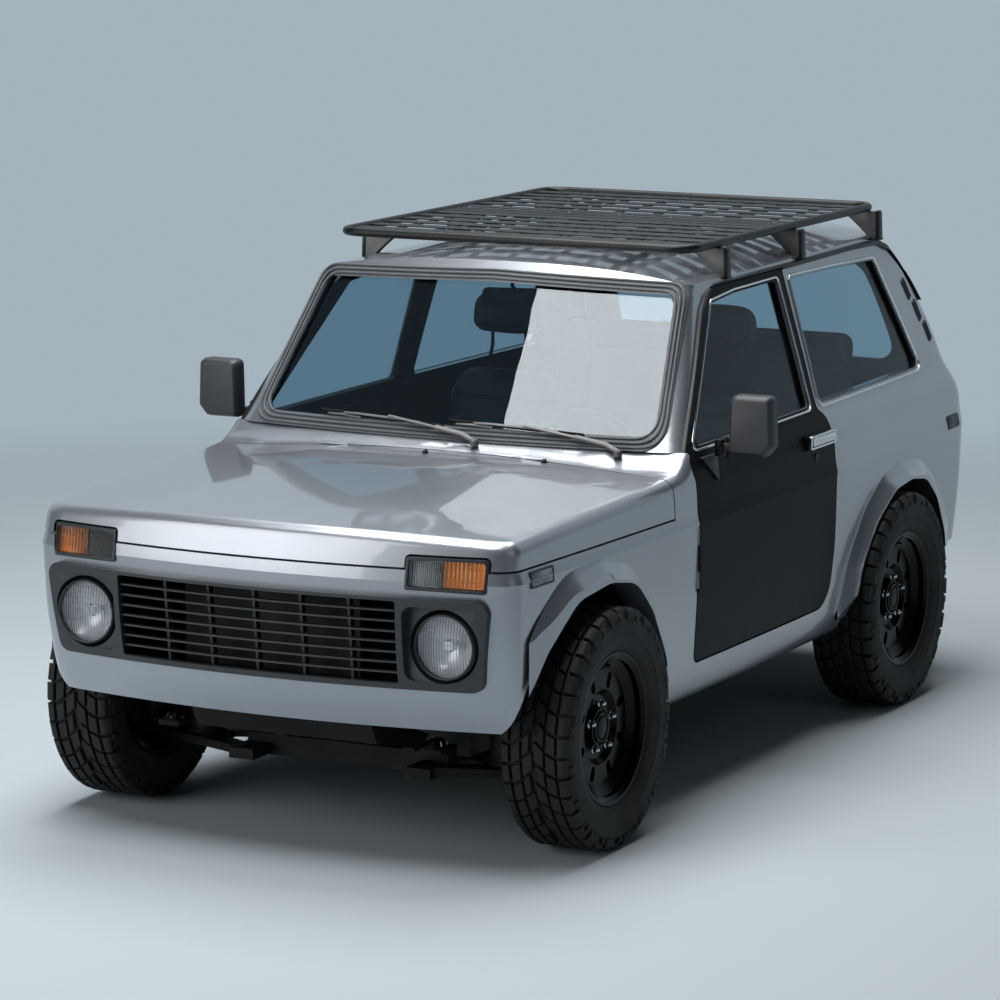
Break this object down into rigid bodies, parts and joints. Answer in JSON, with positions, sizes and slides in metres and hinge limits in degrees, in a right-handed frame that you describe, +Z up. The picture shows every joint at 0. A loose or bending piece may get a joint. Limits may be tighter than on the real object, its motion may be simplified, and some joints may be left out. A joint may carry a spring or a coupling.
{
  "type": "lifted off-road 4x4",
  "caption": "Compact three-door off-road 4x4 in silver with black doors, flat roof rack, steel wheels and mud tyres on raised suspension.",
  "frame": {"origin": "on the ground under the middle of the car: on its symmetry plane and half way along its length", "axes": "+Z up, +X towards the car's left, the front of the car faces -Y"},
  "size_m": [1.9536, 3.6172, 1.608],
  "materials": {
    "body_paint": "metallic clear coat",
    "door_paint": "satin",
    "underbody": "matte sealer",
    "black_trim": "grained",
    "grey_plastic": "moulded",
    "window_glass": "light tint",
    "seal_rubber": "matte",
    "lamp_lens": "clear fluted",
    "seat_cloth": "woven",
    "dark_steel": "matte",
    "wheel_steel": "satin",
    "tyre_rubber": "matte"
  },
  "bodies": {
    "body": {"side_panel_left": "body_paint", "side_panel_right": "body_paint", "roof_panel": "body_paint", "cowl": "body_paint", "front_fenders": "body_paint", "nose_panel": "body_paint", "rear_panel": "body_paint", "floor_pan": "underbody", "wheel_houses": "underbody", "drip_rails": "black_trim", "roof_rack": "black_trim", "dashboard": "black_trim", "wipers": "black_trim", "grille_panel": "grey_plastic", "fixed_glass": "window_glass", "windscreen_seal": "seal_rubber", "lamps": "lamp_lens", "seats": "seat_cloth", "engine_and_radiator": "dark_steel", "sump_guard": "dark_steel", "front_suspension": "dark_steel", "rear_axle": "dark_steel", "driveline": "dark_steel", "exhaust": "dark_steel"},
    "hood": {"hood": "body_paint"},
    "tailgate": {"tailgate": "body_paint", "tailgate_glass": "window_glass"},
    "steering_wheel": {"steering_wheel": "black_trim"},
    "door_left": {"door_left": "door_paint", "door_glass_left": "window_glass", "door_mirror_left": "black_trim"},
    "knuckle_left": {"knuckle_left": "dark_steel"},
    "wheel_front_left": {"rim_front_left": "wheel_steel", "tyre_front_left": "tyre_rubber"},
    "wheel_rear_left": {"rim_rear_left": "wheel_steel", "tyre_rear_left": "tyre_rubber"},
    "door_right": {"door_right": "door_paint", "door_glass_right": "window_glass", "door_mirror_right": "black_trim"},
    "knuckle_right": {"knuckle_right": "dark_steel"},
    "wheel_front_right": {"rim_front_right": "wheel_steel", "tyre_front_right": "tyre_rubber"},
    "wheel_rear_right": {"rim_rear_right": "wheel_steel", "tyre_rear_right": "tyre_rubber"}
  },
  "joints": [
    {"name": "steer_left", "type": "hinge", "parent": "body", "child": "knuckle_left", "pos_m": [0.7, -1.19, 0.348], "axis": [0, 0, 1], "range_deg": [-28, 28]},
    {"name": "spin_front_left", "type": "hinge", "parent": "knuckle_left", "child": "wheel_front_left", "pos_m": [0.742, -1.19, 0.348], "axis": [1, 0, 0], "continuous": true},
    {"name": "spin_rear_left", "type": "hinge", "parent": "body", "child": "wheel_rear_left", "pos_m": [0.742, 1.01, 0.348], "axis": [1, 0, 0], "continuous": true},
    {"name": "door_hinge_left", "type": "hinge", "parent": "body", "child": "door_left", "pos_m": [0.8, -0.549, 0.9], "axis": [0, 0, -1], "range_deg": [0, 65]},
    {"name": "steer_right", "type": "hinge", "parent": "body", "child": "knuckle_right", "pos_m": [-0.7, -1.19, 0.348], "axis": [0, 0, 1], "range_deg": [-28, 28]},
    {"name": "spin_front_right", "type": "hinge", "parent": "knuckle_right", "child": "wheel_front_right", "pos_m": [-0.742, -1.19, 0.348], "axis": [1, 0, 0], "continuous": true},
    {"name": "spin_rear_right", "type": "hinge", "parent": "body", "child": "wheel_rear_right", "pos_m": [-0.742, 1.01, 0.348], "axis": [1, 0, 0], "continuous": true},
    {"name": "door_hinge_right", "type": "hinge", "parent": "body", "child": "door_right", "pos_m": [-0.8, -0.549, 0.9], "axis": [0, 0, 1], "range_deg": [0, 65]},
    {"name": "hood_hinge", "type": "hinge", "parent": "body", "child": "hood", "pos_m": [0, -0.703, 1.0135], "axis": [-1, 0, 0], "range_deg": [0, 60]},
    {"name": "tailgate_hinge", "type": "hinge", "parent": "body", "child": "tailgate", "pos_m": [0, 1.413, 1.455], "axis": [1, 0, 0], "range_deg": [0, 80]},
    {"name": "column_turn", "type": "hinge", "parent": "body", "child": "steering_wheel", "pos_m": [0.345, -0.3, 0.94], "axis": [0, -0.9285, -0.3712], "range_deg": [-448, 448]}
  ],
  "couplings": [
    {"joint": "steer_right", "follows": "steer_left", "ratio": 1},
    {"joint": "column_turn", "follows": "steer_left", "ratio": 16}
  ]
}
